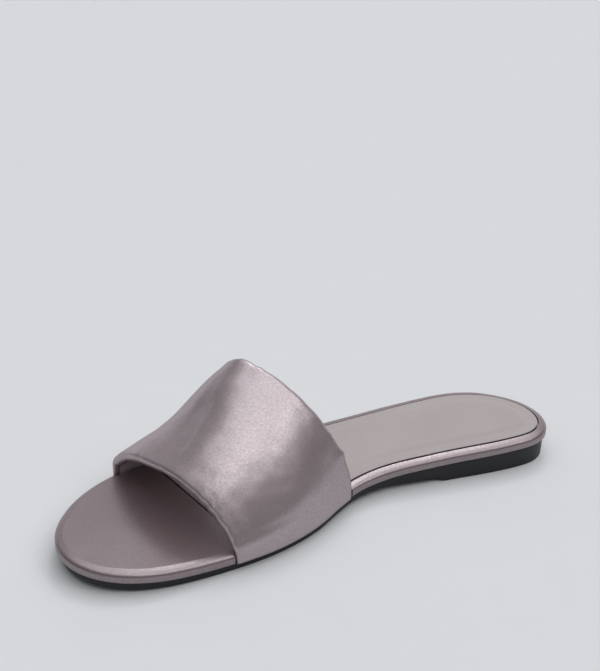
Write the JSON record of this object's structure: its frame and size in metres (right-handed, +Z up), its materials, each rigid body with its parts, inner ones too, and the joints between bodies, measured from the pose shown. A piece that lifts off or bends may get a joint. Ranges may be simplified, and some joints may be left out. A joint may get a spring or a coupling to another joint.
{
  "type": "slide sandal",
  "caption": "Flat slide sandal with one wide padded satin band, a satin-wrapped footbed, a leather sock and a black outsole with a low heel.",
  "frame": {"origin": "middle of the footprint box, on the ground", "axes": "+Z up, +Y towards the heel, the toe points to -Y, +X is the medial side of this right shoe"},
  "size_m": [0.09, 0.25, 0.0692],
  "materials": {
    "outsole": "smooth moulded black",
    "footbed": "mauve taupe satin wrap",
    "sock": "smooth taupe leather",
    "band": "mauve taupe satin, padded"
  },
  "bodies": {
    "root": {"outsole": "outsole", "footbed": "footbed", "sock": "sock", "band": "band"}
  },
  "joints": []
}
